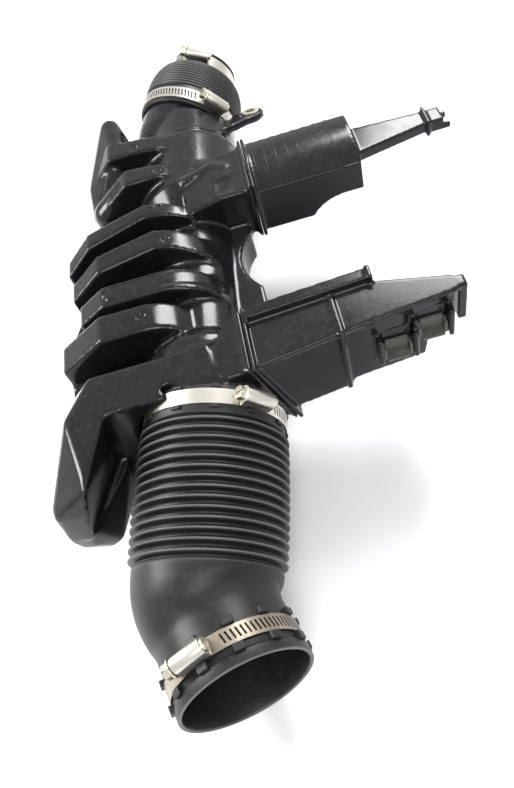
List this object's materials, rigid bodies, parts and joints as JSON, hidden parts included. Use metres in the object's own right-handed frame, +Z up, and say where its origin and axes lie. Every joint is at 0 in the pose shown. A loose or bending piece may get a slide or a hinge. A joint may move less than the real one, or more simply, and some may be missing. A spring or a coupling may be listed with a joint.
{
  "type": "air intake resonator duct",
  "caption": "Blow moulded air intake duct with resonator fingers, two side resonator boxes, ribbed rubber hoses on worm drive clamps at both ends, and a mounting lug with a bush.",
  "frame": {"origin": "centre of the near mouth, in the plane of its rim", "axes": "+Y along the duct from the near hose to the far hose, +Z up through the flat tops of the resonator fingers, +X towards the two side resonator boxes"},
  "size_m": [0.298, 0.5182, 0.105],
  "materials": {
    "moulded_plastic": "satin gloss, blow moulded",
    "hose_rubber": "matte",
    "band_steel": "satin",
    "zinc_screw": "yellow zinc plate",
    "clip_plastic": "dusty"
  },
  "bodies": {
    "root": {"duct_body": "moulded_plastic", "near_resonator_box": "moulded_plastic", "far_resonator_box": "moulded_plastic", "near_hose": "hose_rubber", "far_hose": "hose_rubber", "lug_bush": "zinc_screw", "near_box_clip_inner": "clip_plastic", "near_box_clip_outer": "clip_plastic", "near_mouth_band": "band_steel", "near_mouth_housing": "band_steel", "near_mouth_screw": "zinc_screw", "near_collar_band": "band_steel", "near_collar_housing": "band_steel", "near_collar_screw": "zinc_screw", "far_collar_band": "band_steel", "far_collar_housing": "band_steel", "far_collar_screw": "zinc_screw", "far_mouth_band": "band_steel", "far_mouth_housing": "band_steel", "far_mouth_screw": "zinc_screw"}
  },
  "joints": []
}
